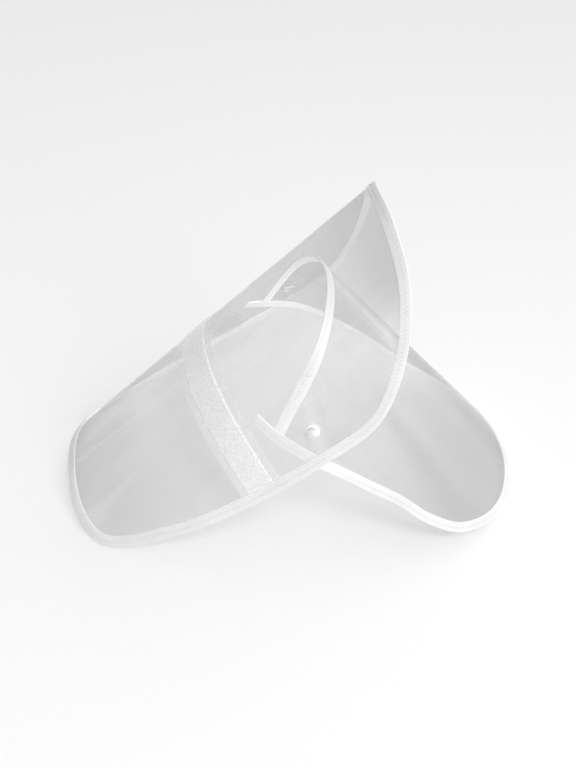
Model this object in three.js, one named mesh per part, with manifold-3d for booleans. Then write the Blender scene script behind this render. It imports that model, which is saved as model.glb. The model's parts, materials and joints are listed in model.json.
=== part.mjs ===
import * as THREE from 'three';
import { mergeVertices } from 'three/addons/utils/BufferGeometryUtils.js';
import Module from 'manifold-3d';

// A clear rain hat with a face shield, set down on a table like a small tent.
// Two sheets of clear film are bent over the head. The hat sheet's ridge climbs from the back of the
// neck to a front point, and the shield sheet hangs inside it, held by a press stud at each side.
// Millimetres. +X is the wearer's front, +Z is up, and the origin is on the table under the middle.

// Driving dimensions
const filmThickness = 0.5;
const gap = 0.3;
const tape = { width: 7.6, thickness: 0.35, shieldTail: 13, hatTail: 12 };
const studHalfSpan = 89.8;

// Each sheet bends about a ridge line. slope is the ridge's climb towards the front, taper is how fast
// the bend opens along it, bend is the angle that the film has turned at bendReach from the ridge,
// span is half the width across the stud line, and askew is how far the cut lies turned on the bend.
const hatBend = { slope: 46.7, taper: -0.00128, bend: 67.9, bendReach: 165, span: studHalfSpan };
const hatCut = { centre: -13, askew: 2.8 };
const shieldBend = { slope: -59.6, taper: 0.00304, bend: 89.1, bendReach: 232, span: studHalfSpan + 2.4 };
const shieldCut = { centre: 34.2, askew: -1.7, archCrown: 0.00219 };

// Reach of the flat outline from the cut's centre, by the turn in degrees from the ridge's front end.
const hatOutline = [
  { turn: 0, reach: 143 },
  { turn: 18, reach: 146.2 },
  { turn: 36, reach: 151.2 },
  { turn: 54, reach: 152.9 },
  { turn: 72, reach: 150.1 },
  { turn: 90, reach: 135 },
  { turn: 108, reach: 130.3 },
  { turn: 126, reach: 137.6 },
  { turn: 144, reach: 158.9 },
  { turn: 162, reach: 194.9 },
  { turn: 180, reach: 187.4 },
];
const shieldOutline = [
  { turn: 0, reach: 165.6 },
  { turn: 14.7, reach: 161.2 },
  { turn: 29.5, reach: 143.7 },
  { turn: 44.2, reach: 124.1 },
  { turn: 58.9, reach: 111.3 },
  { turn: 73.7, reach: 110.5 },
  { turn: 88.4, reach: 119.7 },
  { turn: 103.1, reach: 153.3 },
];

// The shield lies inside the hat. Where its own bend would come nearer to the hat than clear, it is
// pressed inwards, and the studs hold it studDepth under the hat's film for a little way round them.
const press = { clear: 1.8, ease: 3.5 };
const hold = { studDepth: 3.3, flat: 8, fade: 30 };

// The band crosses the ridge at along, and bows backwards by bow times the arc squared. Its core is
// padded to thick, and goes flat towards the two ends, which reach this share of the way to the rim.
const band = {
  width: 34, core: 20, shoulder: 1.5, margin: 0.5, thick: 1.1, pressed: 0.6,
  along: -48.5, bow: 0.0011, reach: 0.985, flatFrom: 0.84, flatBy: 0.9,
};

// Press studs. Lengths are taken along the stud's axis, and holes in the film are wider than the posts.
const stud = {
  capRadius: 5.4, ringRadius: 4.8, postRadius: 1, holeRadius: 1.35, knobRadius: 1.5, boreRadius: 1.85,
  ringDepth: 1.2, ringBevel: 0.3, knobDepth: 1, discDepth: 0.5, capGap: 0.8, ringGap: 0.55,
};
const dome = [
  { radius: stud.capRadius, height: 0 },
  { radius: stud.capRadius, height: 0.5 },
  { radius: 4.8, height: 1.05 },
  { radius: 3.6, height: 1.55 },
  { radius: 2.4, height: 1.75 },
  { radius: 0, height: 1.75 },
];

// How the two rims, resting on the table, turn the whole hat. Degrees about Y and about X.
const stand = { pitch: -2.13, roll: -1.57 };

// How finely the pieces are faceted.
const steps = { hatRim: 96, shieldEdge: 62, shieldTop: 44, band: 38, stud: 20 };
const ringShares = [1, 0.94, 0.86, 0.75, 0.61, 0.44, 0.24];

const degrees = Math.PI / 180;
const halfFilm = filmThickness / 2;
const { lerp, clamp, smoothstep } = THREE.MathUtils;
const wasm = await Module();
wasm.setup();

// The bent surface of one sheet. A flat point is [across, along]: the arc length from the ridge and the
// distance along it. The section turns by bend times a quarter sine wave and grows by taper.
class BentSheet {
  constructor({ slope, taper, bend, bendReach, span }) {
    this.ridge = new THREE.Vector3(Math.cos(slope * degrees), 0, Math.sin(slope * degrees));
    this.rise = new THREE.Vector3(-Math.sin(slope * degrees), 0, Math.cos(slope * degrees));
    this.taper = taper;
    this.step = 0.5;
    this.section = [{ side: 0, drop: 0 }];
    const widest = 260;
    for (let arc = 0; arc < widest; arc += this.step) {
      const middle = Math.min((arc + this.step / 2) / bendReach, 1);
      const turned = bend * degrees * Math.sin((Math.PI / 2) * middle);
      const last = this.section.at(-1);
      this.section.push({
        side: last.side + this.step * Math.cos(turned),
        drop: last.drop + this.step * Math.sin(turned),
      });
    }
    this.studArc = this.arcWhere((row) => row.side, span);
    this.height = this.at(this.studArc).drop;
  }

  at(arc) {
    const place = Math.abs(arc) / this.step;
    const index = Math.min(Math.floor(place), this.section.length - 2);
    const [low, high] = [this.section[index], this.section[index + 1]];
    const part = place - index;
    return { side: lerp(low.side, high.side, part), drop: lerp(low.drop, high.drop, part) };
  }

  arcWhere(measure, value) {
    let index = 1;
    while (index < this.section.length - 1 && measure(this.section[index]) < value) index += 1;
    const [low, high] = [measure(this.section[index - 1]), measure(this.section[index])];
    return (index - 1 + (value - low) / (high - low)) * this.step;
  }

  point([across, along]) {
    const { side, drop } = this.at(across);
    const grow = 1 + this.taper * along;
    return new THREE.Vector3(0, Math.sign(across) * side * grow, 0)
      .addScaledVector(this.rise, (this.height - drop) * grow)
      .addScaledVector(this.ridge, along);
  }

  // How far the sheet lies from the middle plane, at a point's place seen from the side.
  sideAt(point) {
    const grow = 1 + this.taper * point.dot(this.ridge);
    const drop = this.height - point.dot(this.rise) / grow;
    if (drop <= 0) return drop * grow;
    return this.at(this.arcWhere((row) => row.drop, drop)).side * grow;
  }
}

// The film's outward normal at a flat point, from its neighbours.
function normalAt(surface, [across, along]) {
  const reach = 0.5;
  const acrossStep = surface([across + reach, along]).sub(surface([across - reach, along]));
  const alongStep = surface([across, along + reach]).sub(surface([across, along - reach]));
  return alongStep.cross(acrossStep).normalize();
}
const offFilm = (surface, flat, height) =>
  surface(flat).addScaledVector(normalAt(surface, flat), height);

// A cut that lies turned on its bend, about a point on the ridge.
function askew([across, along], pivot, turn) {
  const [c, s] = [Math.cos(turn * degrees), Math.sin(turn * degrees)];
  return [across * c + (along - pivot) * s, pivot - across * s + (along - pivot) * c];
}

const hatSheet = new BentSheet(hatBend);
const squareHatPoint = (flat) => hatSheet.point(flat);
const hatPoint = (flat) => hatSheet.point(askew(flat, hatCut.centre, hatCut.askew));

const shieldSheet = new BentSheet(shieldBend);
const studTilt = normalAt(squareHatPoint, [hatSheet.studArc, 0]).y;
function shieldPoint(flat) {
  const turned = askew(flat, 0, shieldCut.askew);
  const point = shieldSheet.point(turned);
  const hatSide = hatSheet.sideAt(point);
  const over = Math.abs(point.y) - (hatSide - press.clear);
  const pressed = Math.abs(point.y) - (over + Math.hypot(over, 2 * press.ease)) / 2;
  const fromStud = Math.hypot(point.x, Math.abs(point.y) - studHalfSpan, point.z);
  const held = 1 - smoothstep(fromStud, hold.flat, hold.fade);
  const side = lerp(Math.max(pressed, 0), hatSide - hold.studDepth / studTilt, held);
  point.y = Math.sign(turned[0]) * side;
  return point;
}

function indexedGeometry(vertices, triangles) {
  const geometry = new THREE.BufferGeometry().setFromPoints(vertices);
  geometry.setIndex(triangles.flat());
  return geometry;
}

// Flat outlines are smooth curves through their rows and the rows mirrored, walked at even steps.
function outlinePoints(rows, centre, closed, count) {
  const mirrored = rows.slice(1).map(({ turn, reach }) => ({ turn: -turn, reach })).reverse();
  const turns = closed ? [...rows, ...mirrored.slice(1)] : [...mirrored, ...rows];
  const spots = turns.map(({ turn, reach }) => {
    const [across, along] = [reach * Math.sin(turn * degrees), centre + reach * Math.cos(turn * degrees)];
    return new THREE.Vector3(across, along, 0);
  });
  const curve = new THREE.CatmullRomCurve3(spots, closed, 'centripetal');
  curve.arcLengthDivisions = 2000;
  const points = curve.getSpacedPoints(count).map(({ x, y }) => [x, y]);
  return closed ? points.slice(0, -1) : points;
}

const plus = ([a, b], [c, d], scale = 1) => [a + c * scale, b + d * scale];
const unit = ([a, b]) => [a / Math.hypot(a, b), b / Math.hypot(a, b)];
const countTo = (last) => [...Array(last + 1).keys()];

// A walk along flat points: each station has its point, the way forward and the way inwards, which is
// to the left as seen from outside.
function stationsAlong(points, closed) {
  const last = points.length - 1;
  return points.map((flat, index) => {
    const before = points[closed ? (index + last) % points.length : Math.max(index - 1, 0)];
    const after = points[closed ? (index + 1) % points.length : Math.min(index + 1, last)];
    const forward = unit(plus(after, before, -1));
    return { flat, forward, inward: [forward[1], -forward[0]] };
  });
}

// A sheet of film from its rim and copies of the rim shrunk towards a middle point.
function film(surface, rim, middle) {
  const shrunk = (share) => rim.map((flat) => plus(middle, plus(flat, middle, -1), share));
  const flats = [...ringShares.flatMap(shrunk), middle];
  const under = flats.length;
  const skin = (height) => flats.map((flat) => offFilm(surface, flat, height));
  const triangles = [];
  rim.forEach((_, station) => {
    const next = (station + 1) % rim.length;
    ringShares.forEach((_share, ring) => {
      const isLast = ring === ringShares.length - 1;
      const [a, b] = [ring * rim.length + station, ring * rim.length + next];
      const [c, d] = isLast ? [under - 1, under - 1] : [a + rim.length, b + rim.length];
      triangles.push([a, b, c], [a + under, c + under, b + under]);
      if (!isLast) triangles.push([b, d, c], [b + under, c + under, d + under]);
    });
    triangles.push([station + under, next + under, next], [station + under, next, station]);
  });
  return indexedGeometry([...skin(halfFilm), ...skin(-halfFilm)], triangles);
}

// A long piece whose section is swept over the film. A section is a loop of { inward, height } points.
const besideWalk = ({ flat, inward }, offset) => plus(flat, inward, offset);
function sweep(surface, stations, sectionAt, flatAt = besideWalk) {
  const sections = stations.map(sectionAt);
  const count = sections[0].length;
  const loopAt = (station, index) =>
    sections[index].map(({ inward, height }) => offFilm(surface, flatAt(station, inward), height));
  const triangles = [];
  for (let index = 0; index < stations.length - 1; index += 1) {
    for (let side = 0; side < count; side += 1) {
      const [a, b] = [index * count + side, index * count + ((side + 1) % count)];
      triangles.push([a, b, b + count], [a, b + count, a + count]);
    }
  }
  const capOf = (section) => {
    const loop = section.map(({ inward, height }) => new THREE.Vector2(inward, height));
    return THREE.ShapeUtils.triangulateShape(loop, []);
  };
  const end = (stations.length - 1) * count;
  capOf(sections[0]).forEach(([a, b, c]) => triangles.push([a, c, b]));
  capOf(sections.at(-1)).forEach(([a, b, c]) => triangles.push([a + end, b + end, c + end]));
  return indexedGeometry(stations.flatMap(loopAt), triangles);
}

// The folded tape's section: two legs and a fold, open towards the film. How far the slot clears the
// film's middle below and above, and how far the fold stands outside the film's edge, can change.
const tapeSlot = halfFilm + gap;
function foldedTape({ under = tapeSlot, over = tapeSlot, outside = gap }) {
  const fold = -outside - tape.thickness;
  const reach = fold + tape.width;
  return [
    { inward: fold, height: -under - tape.thickness },
    { inward: reach, height: -under - tape.thickness },
    { inward: reach, height: -under },
    { inward: -outside, height: -under },
    { inward: -outside, height: over },
    { inward: reach, height: over },
    { inward: reach, height: over + tape.thickness },
    { inward: fold, height: over + tape.thickness },
  ];
}

// Hat sheet
const hatRim = outlinePoints(hatOutline, hatCut.centre, true, steps.hatRim);
const hatFilm = film(hatPoint, hatRim, [0, hatCut.centre]);

// Hat tape. It stands up over the band's ends, which are caught under it. It starts at the far back
// corner, and its end laps over its start there and sticks out past the corner as a short tail.
const bandAlong = (arc) => band.along - band.bow * arc * arc;
const overBand = { clear: 21, ease: 30 };
const lap = { start: 0.442, ease: 2 };
const hatWalk = stationsAlong(hatRim, true);
const lapStart = Math.round(lap.start * hatWalk.length);
const tapeWalk = [...hatWalk.slice(lapStart), ...hatWalk.slice(0, lapStart), hatWalk[lapStart]];
const lapStation = tapeWalk.at(-1);
const lapTail = { ...lapStation, flat: plus(lapStation.flat, lapStation.forward, tape.hatTail) };
function hatTapeSection({ flat }, step) {
  const beside = Math.abs(flat[1] - bandAlong(flat[0]));
  const raised = 1 - smoothstep(beside, overBand.clear, overBand.ease);
  const lapped = clamp((step - hatWalk.length) / lap.ease + 1, 0, 1);
  const layer = (tape.thickness + gap) * lapped;
  const over = tapeSlot + layer + raised * (band.margin + gap);
  return foldedTape({ under: tapeSlot + layer, over, outside: gap + layer });
}
const hatBinding = sweep(hatPoint, [...tapeWalk, lapTail], hatTapeSection);

// Band. Its stations have a share, from 1 at the far rim to -1 at the near one, and beside is the
// distance across its width.
const bandFoot = halfFilm + gap;
function rimReach(turn) {
  const turnOf = ([across, along]) => Math.atan2(across, along - hatCut.centre);
  const nearest = hatRim.reduce((best, flat) =>
    (Math.abs(turnOf(flat) - turn) < Math.abs(turnOf(best) - turn) ? flat : best));
  return Math.hypot(nearest[0], nearest[1] - hatCut.centre);
}
function rimArc(beside) {
  let [low, high] = [60, 180];
  const passes = 24;
  for (let pass = 0; pass < passes; pass += 1) {
    const arc = (low + high) / 2;
    const along = bandAlong(arc) + beside - hatCut.centre;
    if (Math.hypot(arc, along) < rimReach(Math.atan2(arc, along))) low = arc;
    else high = arc;
  }
  return low * band.reach;
}
function bandFlat({ share }, beside) {
  const arc = share * rimArc(beside);
  return [arc, bandAlong(arc) + beside];
}
function bandSection({ share }) {
  const flattened = smoothstep(Math.abs(share), band.flatFrom, band.flatBy);
  const [low, top] = [bandFoot + band.margin, bandFoot + lerp(band.thick, band.pressed, flattened)];
  const [outer, inner] = [band.width / 2, band.core / 2];
  return [
    { inward: -outer, height: bandFoot },
    { inward: 0, height: bandFoot },
    { inward: outer, height: bandFoot },
    { inward: outer, height: low },
    { inward: inner + band.shoulder, height: low },
    { inward: inner, height: top },
    { inward: -inner, height: top },
    { inward: -inner - band.shoulder, height: low },
    { inward: -outer, height: low },
  ];
}
const bandWalk = countTo(steps.band).map((step) => ({ share: 1 - (2 * step) / steps.band }));
const crownBand = sweep(hatPoint, bandWalk, bandSection, bandFlat);

// Shield sheet. Its lower edge is a tongue, and its top edge an arch that begins inside the lower tape.
const lowerEdge = outlinePoints(shieldOutline, shieldCut.centre, false, steps.shieldEdge);
const [footAcross, footAlong] = lowerEdge.at(-1);
const topInset = tape.width - 1.2;
const topEnd = footAcross - topInset;
const topEdge = countTo(steps.shieldTop).map((step) => {
  const across = topEnd * (1 - (2 * step) / steps.shieldTop);
  return [across, footAlong + shieldCut.archCrown * (across ** 2 - footAcross ** 2)];
});
const shieldFilm = film(shieldPoint, [...lowerEdge, ...topEdge], [0, shieldCut.centre]);

// The shield's tapes have a wider slot, for its sharper bend. The lower tape runs past both corners as
// straight tails. The bent shield spreads towards its lower end, so the tape's way inwards is found on
// the bend: square to the edge there, and one millimetre long.
const lowerSlot = tapeSlot + 0.2;
const topSlot = tapeSlot + 0.35;
const lowerSection = () => foldedTape({ under: lowerSlot, over: lowerSlot });
const topSection = () => foldedTape({ under: topSlot, over: topSlot });
function inwardOnBend({ flat, forward: [across, along] }) {
  const grow = 1 + shieldBend.taper * flat[1];
  const length = Math.hypot(along, across * grow);
  return [along / (grow * length), (-across * grow) / length];
}
const lowerWalk = stationsAlong(lowerEdge, false)
  .map((station) => ({ ...station, inward: inwardOnBend(station) }));
const tailPast = (station, length) => ({ ...station, flat: plus(station.flat, station.forward, length) });
const [firstStation, lastStation] = [lowerWalk[0], lowerWalk.at(-1)];
const tails = [tailPast(firstStation, -tape.shieldTail), tailPast(lastStation, tape.shieldTail)];
const shieldEdgeBinding = sweep(shieldPoint, [tails[0], ...lowerWalk, tails[1]], lowerSection);

// The top tape ends against the lower one, cut along its edge.
const topWalk = stationsAlong(topEdge, false);
function cutAlong(station, way) {
  const depth = way[0] * station.inward[0] + way[1] * station.inward[1];
  station.inward = [way[0] / depth, way[1] / depth];
}
const [cornerAcross, cornerAlong] = lastStation.forward;
cutAlong(topWalk[0], [-cornerAcross, -cornerAlong]);
cutAlong(topWalk.at(-1), [cornerAcross, -cornerAlong]);
const shieldTopBinding = sweep(shieldPoint, topWalk, topSection);

// Each stud has four pieces on one axis square to the hat film: a cap outside the hat whose post goes
// through the film, a socket inside the hat, and a stud and a cap on the two sides of the shield.
// Heights are measured outwards from the middle of the hat film.
const capFoot = halfFilm + gap;
const socketTop = -halfFilm - stud.ringGap;
const socketFoot = socketTop - stud.ringDepth;
const discTop = socketFoot - gap;
const discFoot = discTop - stud.discDepth;
const knobTop = discTop + stud.knobDepth;
const postTip = knobTop + gap;
const innerCapFoot = -hold.studDepth - halfFilm - stud.capGap;
const innerPostTip = discFoot - gap;
const lathe = (rows) => {
  const profile = rows.map(([radius, height]) => new THREE.Vector2(radius, height));
  const geometry = new THREE.LatheGeometry(profile, steps.stud);
  geometry.rotateX(Math.PI / 2);
  geometry.deleteAttribute('normal');
  geometry.deleteAttribute('uv');
  const nearest = 1e-4;
  return mergeVertices(geometry, nearest);
};
const outerCap = lathe([
  [0, postTip], [stud.postRadius, postTip], [stud.postRadius, capFoot],
  ...dome.map(({ radius, height }) => [radius, capFoot + height]),
]);
const socket = lathe([
  [stud.boreRadius, socketFoot], [stud.ringRadius, socketFoot],
  [stud.ringRadius, socketTop - stud.ringBevel], [stud.ringRadius - stud.ringBevel, socketTop],
  [stud.boreRadius, socketTop], [stud.boreRadius, socketFoot],
]);
const knob = lathe([
  [0, discFoot], [stud.ringRadius, discFoot], [stud.ringRadius, discTop],
  [stud.knobRadius, discTop], [stud.knobRadius, knobTop], [0, knobTop],
]);
const innerCap = lathe([
  ...dome.map(({ radius, height }) => [radius, innerCapFoot - height]).reverse(),
  [stud.postRadius, innerCapFoot], [stud.postRadius, innerPostTip], [0, innerPostTip],
]);

// A stud's axis stands on the hat film at the stud line; side is -1 on the near side and 1 on the far.
function studFrame(side) {
  const flat = [side * hatSheet.studArc, 0];
  const outward = normalAt(squareHatPoint, flat);
  const turn = new THREE.Quaternion().setFromUnitVectors(new THREE.Vector3(0, 0, 1), outward);
  return { position: squareHatPoint(flat), turn };
}

function asManifold(geometry) {
  const vertProperties = Float32Array.from(geometry.attributes.position.array);
  const triVerts = Uint32Array.from(geometry.index.array);
  return new wasm.Manifold(new wasm.Mesh({ numProp: 3, vertProperties, triVerts }));
}

// The film with a hole for each stud's post.
function pierced(geometry) {
  let solid = asManifold(geometry);
  const depth = 8;
  for (const side of [-1, 1]) {
    const { position, turn } = studFrame(side);
    const drill = lathe([[0, -depth], [stud.holeRadius, -depth], [stud.holeRadius, depth], [0, depth]]);
    drill.applyQuaternion(turn);
    drill.translate(...position);
    solid = solid.subtract(asManifold(drill));
  }
  const { vertProperties, triVerts } = solid.getMesh();
  const result = new THREE.BufferGeometry();
  result.setAttribute('position', new THREE.BufferAttribute(vertProperties, 3));
  result.setIndex([...triVerts]);
  return result;
}

const clearFilm = { color: 0xdde2e4, roughness: 0.15, metalness: 0 };
const whiteTape = { color: 0xf4f5f5, roughness: 0.7, metalness: 0 };
const sparkle = { color: 0xe8ecee, roughness: 0.45, metalness: 0 };
const clearPlastic = { color: 0xf2f4f5, roughness: 0.2, metalness: 0 };

function meshOf(name, geometry, finish) {
  geometry.computeVertexNormals();
  const mesh = new THREE.Mesh(geometry, new THREE.MeshStandardMaterial(finish));
  mesh.name = name;
  return mesh;
}

const hat = new THREE.Group();
hat.add(meshOf('hat_sheet', pierced(hatFilm), clearFilm));
hat.add(meshOf('hat_binding', hatBinding, whiteTape));
hat.add(meshOf('crown_band', crownBand, sparkle));
hat.add(meshOf('shield_sheet', pierced(shieldFilm), clearFilm));
hat.add(meshOf('shield_edge_binding', shieldEdgeBinding, whiteTape));
hat.add(meshOf('shield_top_binding', shieldTopBinding, whiteTape));
for (const [side, label] of [[-1, 'near'], [1, 'far']]) {
  const { position, turn } = studFrame(side);
  const pieces = { outer_cap: outerCap, socket, stud: knob, inner_cap: innerCap };
  for (const [name, geometry] of Object.entries(pieces)) {
    const mesh = meshOf(`${label}_${name}`, geometry.clone(), clearPlastic);
    mesh.position.copy(position);
    mesh.quaternion.copy(turn);
    hat.add(mesh);
  }
}

// The hat is turned as it rests on its two rims, then set with its lowest points on the table.
const object = new THREE.Group();
hat.rotation.set(stand.roll * degrees, stand.pitch * degrees, 0, 'XYZ');
object.add(hat);
object.updateMatrixWorld(true);
const box = new THREE.Box3().setFromObject(hat, true);
const middle = box.getCenter(new THREE.Vector3());
hat.position.set(-middle.x, -middle.y, -box.min.z);

export default object;
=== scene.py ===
import json

import bpy
import numpy as np
from mathutils import Matrix


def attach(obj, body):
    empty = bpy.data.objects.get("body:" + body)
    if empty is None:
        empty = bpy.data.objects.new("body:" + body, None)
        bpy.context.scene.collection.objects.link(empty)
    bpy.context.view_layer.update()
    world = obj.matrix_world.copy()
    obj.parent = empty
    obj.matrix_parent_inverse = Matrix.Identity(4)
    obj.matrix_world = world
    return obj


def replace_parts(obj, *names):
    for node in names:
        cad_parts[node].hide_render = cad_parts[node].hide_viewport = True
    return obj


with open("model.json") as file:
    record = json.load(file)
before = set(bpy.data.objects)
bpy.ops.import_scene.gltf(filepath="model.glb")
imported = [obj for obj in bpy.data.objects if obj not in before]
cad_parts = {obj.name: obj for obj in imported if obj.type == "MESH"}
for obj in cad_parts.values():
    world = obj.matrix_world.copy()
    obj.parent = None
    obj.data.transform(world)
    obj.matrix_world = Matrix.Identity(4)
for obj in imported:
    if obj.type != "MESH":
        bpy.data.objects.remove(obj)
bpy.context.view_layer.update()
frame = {"record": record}


# How the hat stands. Its pieces are worked out level, in millimetres, with zero at the middle of the line
# between the two press studs, and are then turned and lifted as the rims rest on the table. The studs'
# cap tops in the record say where that middle is.
millimetre = 0.001
stand_pitch = np.radians(-2.13)
stand_roll = np.radians(-1.57)
cap_top_height = 2.3


def turned_about_x(angle):
    """The matrix of a turn about X: Y goes towards Z."""
    c, s = np.cos(angle), np.sin(angle)
    return np.array([[1, 0, 0], [0, c, -s], [0, s, c]])


def turned_about_y(angle):
    """The matrix of a turn about Y: Z goes towards X."""
    c, s = np.cos(angle), np.sin(angle)
    return np.array([[c, 0, s], [0, 1, 0], [-s, 0, c]])


stand_turn = turned_about_x(stand_roll) @ turned_about_y(stand_pitch)
cap_tops = [mount for mount in frame["record"]["mounts"] if mount["name"].endswith("cap_top")]
top_places, top_axes = (np.array([top[key] for top in cap_tops]) for key in ("pos_m", "axis"))
stud_middle = np.mean(top_places - cap_top_height * millimetre * top_axes, axis=0)


def placed(points):
    """Level millimetre points turned by the stand and moved to the studs' middle, in metres."""
    return np.asarray(points) @ stand_turn.T * millimetre + stud_middle


# Camera, at the photograph's angle to the hat: above the table, on the near side, a little behind.
camera_azimuth = np.radians(-5.84)
camera_elevation = np.radians(41.32)
camera_distance = 598
camera_target = np.array([-7.73, 0, -34.22])
camera_lens = 35.04
back = np.array([
    np.sin(camera_azimuth) * np.cos(camera_elevation),
    -np.cos(camera_azimuth) * np.cos(camera_elevation),
    np.sin(camera_elevation),
])
right = np.array([np.cos(camera_azimuth), np.sin(camera_azimuth), 0])
camera_axes = stand_turn @ np.column_stack([right, np.cross(back, right), back])
camera_matrix = np.eye(4)
camera_matrix[:3, :3] = camera_axes
camera_matrix[:3, 3] = placed(camera_target + back * camera_distance)
camera = bpy.data.objects.new("camera", bpy.data.cameras.new("camera"))
bpy.context.scene.collection.objects.link(camera)
camera.matrix_world = Matrix(camera_matrix.tolist())
camera.data.lens = camera_lens
bpy.context.scene.camera = camera


# Hat sheet. One piece of clear soft film, 0.5 mm thick, cut to a pointed oval and bent over the head.
# It is worked out flat, as an arc length across the ridge and a distance along it, and then bent.
film_thickness = 0.5
stud_half_span = 89.8
hat_bend = {"slope": 46.7, "taper": -0.00128, "bend": 67.9, "bend_reach": 165, "span": stud_half_span}
hat_centre = -13
hat_askew = 2.8
hat_outline = {
    "turn": [0, 18, 36, 54, 72, 90, 108, 126, 144, 162, 180],
    "reach": [143, 146.2, 151.2, 152.9, 150.1, 135, 130.3, 137.6, 158.9, 194.9, 187.4],
}
hat_rim_steps = 480
film_rings = 54
map_span = 600
film_white = (0.62, 0.66)
film_loss = (0.01, 0.035)
film_roughness = (0.06, 0.2)


class BentSheet:
    """A flat sheet bent about a ridge line. The section turns by bend times a quarter sine wave of the arc
    length over bend_reach, and grows along the ridge by taper; side and drop are its running sums."""

    def __init__(self, slope, taper, bend, bend_reach, span):
        climb = np.radians(slope)
        self.ridge = np.array([np.cos(climb), 0, np.sin(climb)])
        self.rise = np.array([-np.sin(climb), 0, np.cos(climb)])
        self.taper = taper
        step = 0.5
        widest = 260
        self.arcs = np.arange(0, widest + step, step)
        middles = np.minimum((self.arcs[:-1] + step / 2) / bend_reach, 1)
        turned = np.radians(bend) * np.sin(np.pi / 2 * middles)
        self.sides = np.concatenate([[0], np.cumsum(step * np.cos(turned))])
        self.drops = np.concatenate([[0], np.cumsum(step * np.sin(turned))])
        self.stud_arc = np.interp(span, self.sides, self.arcs)
        self.height = np.interp(self.stud_arc, self.arcs, self.drops)

    def point(self, across, along):
        """Side and drop at the arc length, grown by the taper, laid across and down from the ridge."""
        side = np.interp(np.abs(across), self.arcs, self.sides)
        drop = np.interp(np.abs(across), self.arcs, self.drops)
        grow = 1 + self.taper * along
        lift = (self.height - drop) * grow
        points = lift[..., None] * self.rise + along[..., None] * self.ridge
        points[..., 1] += np.sign(across) * side * grow
        return points

    def side_at(self, points):
        """How far from the middle plane the sheet lies, at points seen from the side."""
        grow = 1 + self.taper * (points @ self.ridge)
        drop = self.height - points @ self.rise / grow
        return np.where(drop > 0, np.interp(drop, self.drops, self.sides), drop) * grow


def askew(across, along, pivot, turn):
    """Flat places turned by some degrees about a point on the ridge."""
    c, s = np.cos(np.radians(turn)), np.sin(np.radians(turn))
    return across * c + (along - pivot) * s, pivot - across * s + (along - pivot) * c


hat_form = BentSheet(**hat_bend)


def hat_surface(across, along):
    """The bent sheet under the hat's cut, which lies a little askew on the bend."""
    return hat_form.point(*askew(across, along, hat_centre, hat_askew))


def outward(surface, across, along):
    """Unit normals: the way along crossed with the way across, each from two near neighbours."""
    reach = 0.5
    across_way = surface(across + reach, along) - surface(across - reach, along)
    along_way = surface(across, along + reach) - surface(across, along - reach)
    normals = np.cross(along_way, across_way)
    return normals / np.linalg.norm(normals, axis=-1, keepdims=True)


def off_film(surface, across, along, height):
    """Points at a height outside the film's middle."""
    return surface(across, along) + outward(surface, across, along) * np.asarray(height)[..., None]


def smooth_curve(spots, closed, count):
    """A centripetal Catmull-Rom curve through flat spots, by the pyramid of weighted means, walked at even
    steps of its length."""
    if closed:
        ends = [spots[-1:], spots, spots[:2]]
    else:
        ends = [2 * spots[:1] - spots[1:2], spots, 2 * spots[-1:] - spots[-2:-1]]
    knots = np.concatenate(ends)
    times = np.concatenate([[0], np.cumsum(np.linalg.norm(np.diff(knots, axis=0), axis=1) ** 0.5)])
    share = np.linspace(0, 1, 200, endpoint=False)[:, None]
    pieces = []
    for first in range(len(knots) - 3):
        p, t = knots[first:first + 4], times[first:first + 4]
        time = t[1] + (t[2] - t[1]) * share

        def mean(a, b, low, high):
            return (a * (t[high] - time) + b * (time - t[low])) / (t[high] - t[low])

        lower = [mean(p[0], p[1], 0, 1), mean(p[1], p[2], 1, 2), mean(p[2], p[3], 2, 3)]
        upper = [mean(lower[0], lower[1], 0, 2), mean(lower[1], lower[2], 1, 3)]
        pieces.append(mean(upper[0], upper[1], 1, 2))
    walk = np.concatenate([*pieces, knots[-2:-1]])
    lengths = np.concatenate([[0], np.cumsum(np.linalg.norm(np.diff(walk, axis=0), axis=1))])
    marks = np.linspace(0, lengths[-1], count + 1)
    even = np.column_stack([np.interp(marks, lengths, walk[:, axis]) for axis in (0, 1)])
    return even[:-1] if closed else even


def outline(rows, centre, closed, count):
    """Flat outline from each row's reach at its turn from the ridge's front, mirrored to the near side."""
    turns, reaches = np.radians(rows["turn"]), np.array(rows["reach"], float)
    far = np.column_stack([reaches * np.sin(turns), centre + reaches * np.cos(turns)])
    near = (far * [-1, 1])[1:][::-1]
    spots = np.concatenate([far, near[1:]]) if closed else np.concatenate([near, far])
    return smooth_curve(spots, closed, count)


def grid_faces(rows, columns, closed_rows=False, closed_columns=False):
    """Quads between the points of a grid of rows and columns, which may close on itself either way."""
    row = np.arange(rows if closed_rows else rows - 1)[:, None]
    column = np.arange(columns if closed_columns else columns - 1)[None, :]
    next_row, next_column = (row + 1) % rows, (column + 1) % columns
    corners = [row * columns + column, row * columns + next_column]
    corners += [next_row * columns + next_column, next_row * columns + column]
    return np.stack([np.broadcast_to(c, (row.size, column.size)) for c in corners], axis=-1).reshape(-1, 4)


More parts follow.
